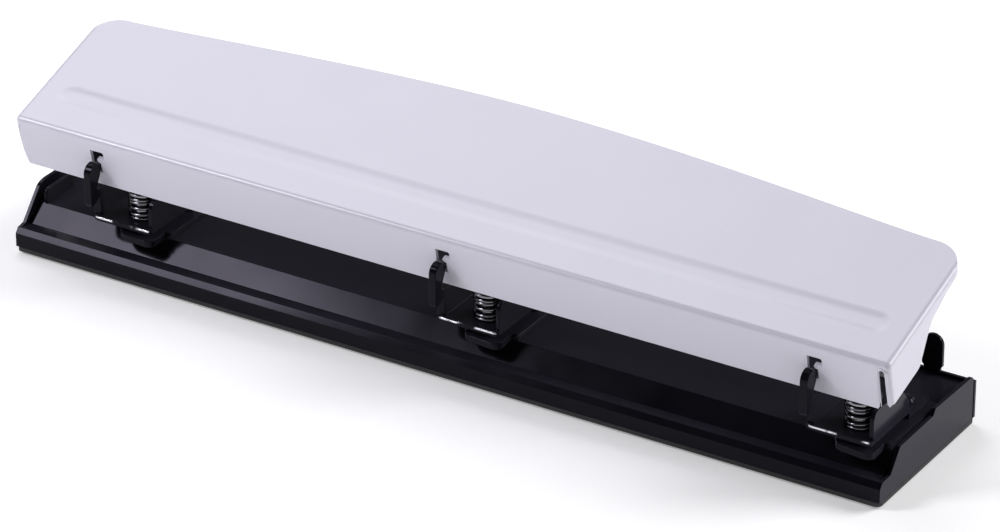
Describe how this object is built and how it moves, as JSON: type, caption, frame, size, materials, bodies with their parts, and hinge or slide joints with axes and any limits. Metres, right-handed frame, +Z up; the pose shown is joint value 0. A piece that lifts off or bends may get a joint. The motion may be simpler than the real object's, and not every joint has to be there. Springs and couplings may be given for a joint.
{
  "type": "three-hole paper punch",
  "caption": "Desktop paper punch for ring-binder sheets: black steel base with punch heads and sprung pins, pressed by one full-length silver lever.",
  "frame": {"origin": "middle of the underside of the whole punch's box, on the desk", "axes": "+X along the length to the right as seen from the paper side, +Y to the rear, +Z up"},
  "size_m": [0.2634, 0.0522, 0.0554],
  "materials": {
    "silver_paint": "satin silver-white paint with a faint lavender cast",
    "black_enamel": "glossy black enamel",
    "bright_steel": "bright plated steel",
    "zinc_steel": "dull zinc plate",
    "black_plastic": "moulded, fine texture",
    "rubber": "matt"
  },
  "bodies": {
    "base": {"base_pan": "black_enamel", "paper_guide": "black_enamel", "floor_frame": "black_plastic", "door_hinge_pin_left": "bright_steel", "door_hinge_pin_right": "bright_steel", "left_die_plate": "black_enamel", "left_head_bracket": "black_enamel", "left_head_rivet_1": "black_enamel", "left_head_rivet_2": "black_enamel", "left_return_spring": "bright_steel", "middle_die_plate": "black_enamel", "middle_head_bracket": "black_enamel", "middle_head_rivet_1": "black_enamel", "middle_head_rivet_2": "black_enamel", "middle_return_spring": "bright_steel", "right_die_plate": "black_enamel", "right_head_bracket": "black_enamel", "right_head_rivet_1": "black_enamel", "right_head_rivet_2": "black_enamel", "right_return_spring": "bright_steel", "front_left_foot": "rubber", "front_right_foot": "rubber", "rear_left_foot": "rubber", "rear_right_foot": "rubber"},
    "lever": {"lever_cover": "silver_paint", "press_bar": "zinc_steel"},
    "left_pin": {"left_punch_pin": "bright_steel", "left_spring_washer": "bright_steel", "left_retaining_ring": "bright_steel"},
    "middle_pin": {"middle_punch_pin": "bright_steel", "middle_spring_washer": "bright_steel", "middle_retaining_ring": "bright_steel"},
    "right_pin": {"right_punch_pin": "bright_steel", "right_spring_washer": "bright_steel", "right_retaining_ring": "bright_steel"},
    "chip_door": {"chip_door": "black_plastic"}
  },
  "joints": [
    {"name": "lever_press", "type": "hinge", "parent": "base", "child": "lever", "pos_m": [0, -0.02079, 0.029], "axis": [-1, 0, 0], "range_deg": [0, 36], "stiffness_Nm_per_rad": 0.5, "springref_deg": -14.32},
    {"name": "left_pin_slide", "type": "slide", "parent": "base", "child": "left_pin", "axis": [0, 0, -1], "range_m": [0, 0.00352], "deforming": ["left_return_spring"]},
    {"name": "middle_pin_slide", "type": "slide", "parent": "base", "child": "middle_pin", "axis": [0, 0, -1], "range_m": [0, 0.00352], "deforming": ["middle_return_spring"]},
    {"name": "right_pin_slide", "type": "slide", "parent": "base", "child": "right_pin", "axis": [0, 0, -1], "range_m": [0, 0.00352], "deforming": ["right_return_spring"]},
    {"name": "chip_door_hinge", "type": "hinge", "parent": "base", "child": "chip_door", "pos_m": [0, 0.01701, 0.0021], "axis": [1, 0, 0], "range_deg": [0, 80]}
  ],
  "couplings": [
    {"joint": "left_pin_slide", "follows": "lever_press", "m_per_rad": 0.005585},
    {"joint": "middle_pin_slide", "follows": "lever_press", "m_per_rad": 0.005585},
    {"joint": "right_pin_slide", "follows": "lever_press", "m_per_rad": 0.005585}
  ]
}
